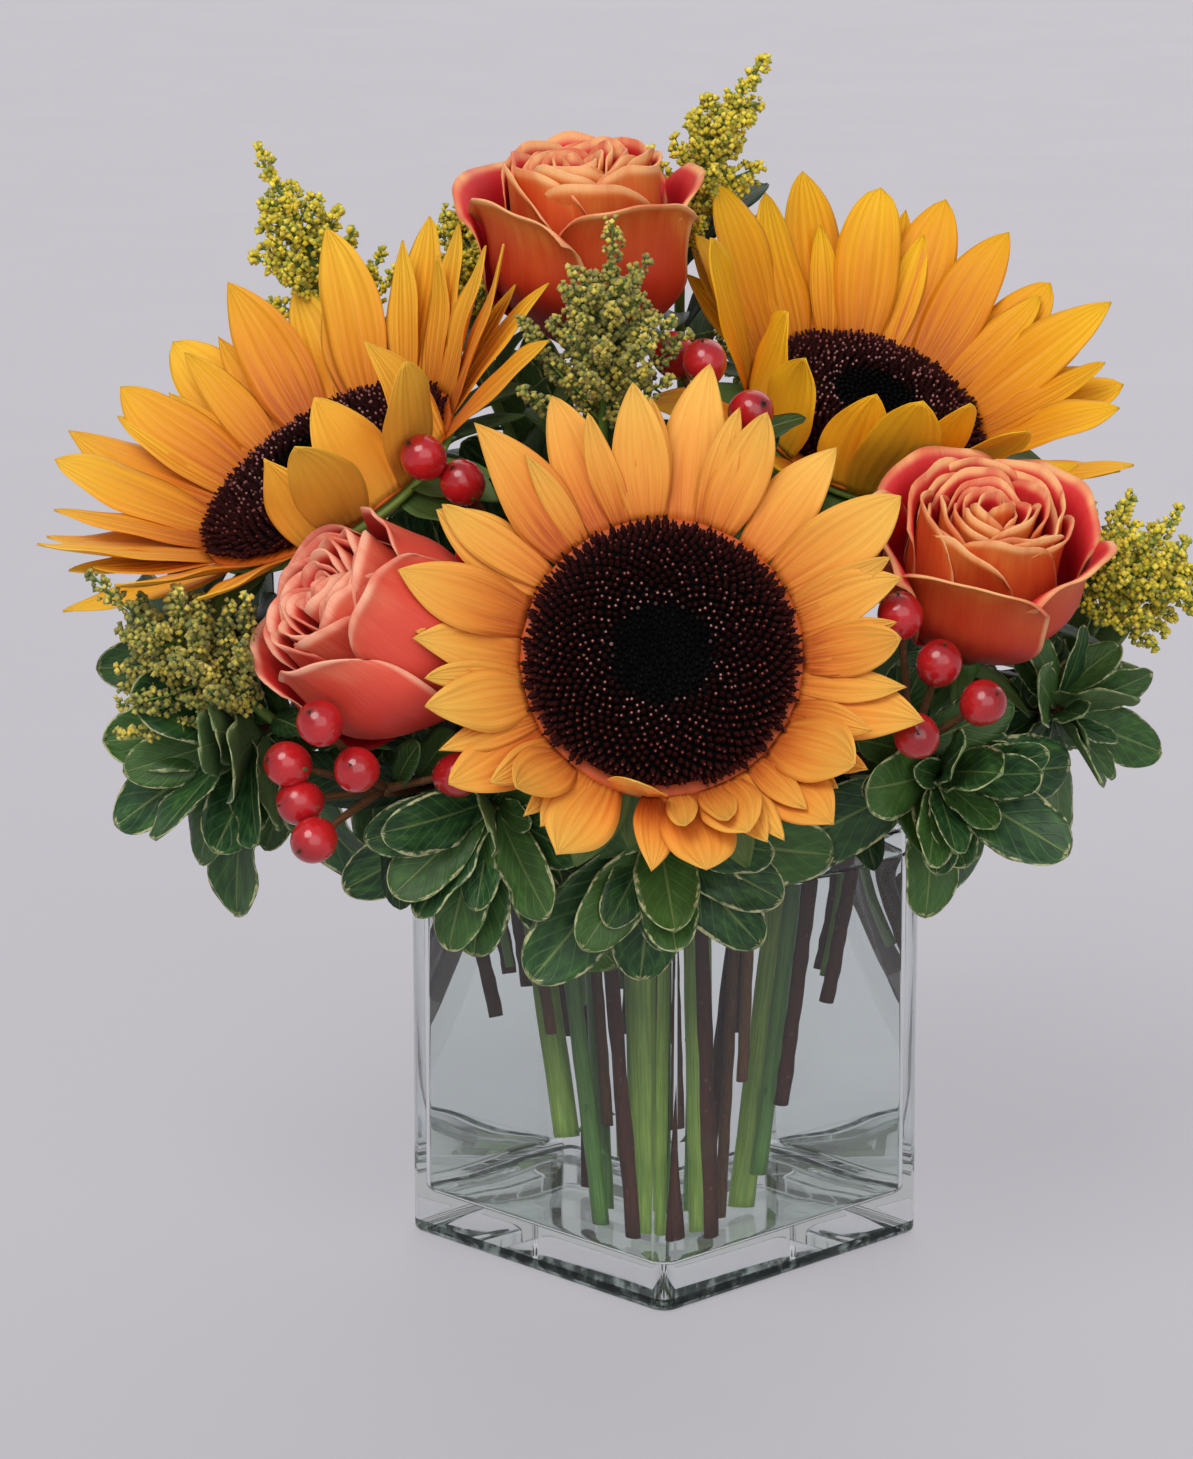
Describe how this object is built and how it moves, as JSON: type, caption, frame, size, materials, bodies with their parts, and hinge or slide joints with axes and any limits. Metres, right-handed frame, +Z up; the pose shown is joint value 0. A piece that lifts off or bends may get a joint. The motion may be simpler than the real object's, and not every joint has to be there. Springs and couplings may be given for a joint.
{
  "type": "sunflower bouquet in a glass vase",
  "caption": "Square clear glass vase, partly filled with water, holding cut sunflowers, coral roses, red berries, goldenrod and cream-edged leaves",
  "frame": {"origin": "the middle of the vase's flat foot, where it rests on a table", "axes": "+Z up along the vase, -Y towards the front of the bouquet, which one corner of the vase faces, +X to the viewer's right"},
  "size_m": [0.327, 0.256, 0.3269],
  "materials": {
    "vase": "clear polished glass",
    "water": "clear water",
    "sunflower_petal": "soft satin petal, amber yellow",
    "sunflower_disc": "matt brown florets, near black in the middle",
    "sunflower_stem": "matt green, finely haired",
    "rose_petal": "velvety coral petal, peach at its edge",
    "rose_stem": "smooth green",
    "berry": "glossy red",
    "goldenrod": "matt yellow-green buds",
    "pittosporum_leaf": "waxy dark green leaf with a cream edge"
  },
  "bodies": {
    "root": {"goldenrod_back": "goldenrod", "goldenrod_back_left": "goldenrod", "goldenrod_left": "goldenrod", "goldenrod_left_top": "goldenrod", "goldenrod_middle": "goldenrod", "goldenrod_right": "goldenrod", "goldenrod_top": "goldenrod", "hypericum_front_left": "berry", "hypericum_front_right": "berry", "hypericum_left": "berry", "hypericum_middle": "berry", "pittosporum_back": "pittosporum_leaf", "pittosporum_back_left": "pittosporum_leaf", "pittosporum_back_right": "pittosporum_leaf", "pittosporum_far_left": "pittosporum_leaf", "pittosporum_far_right": "pittosporum_leaf", "pittosporum_front": "pittosporum_leaf", "pittosporum_front_left": "pittosporum_leaf", "pittosporum_front_right": "pittosporum_leaf", "pittosporum_high_left": "pittosporum_leaf", "pittosporum_high_right": "pittosporum_leaf", "pittosporum_left": "pittosporum_leaf", "pittosporum_right": "pittosporum_leaf", "rose_left_bloom": "rose_petal", "rose_left_stem": "rose_stem", "rose_right_bloom": "rose_petal", "rose_right_stem": "rose_stem", "rose_top_bloom": "rose_petal", "rose_top_stem": "rose_stem", "sunflower_front_disc": "sunflower_disc", "sunflower_front_petals": "sunflower_petal", "sunflower_front_stem": "sunflower_stem", "sunflower_left_disc": "sunflower_disc", "sunflower_left_petals": "sunflower_petal", "sunflower_left_stem": "sunflower_stem", "sunflower_right_disc": "sunflower_disc", "sunflower_right_petals": "sunflower_petal", "sunflower_right_stem": "sunflower_stem", "vase": "vase", "water": "water"}
  },
  "joints": []
}
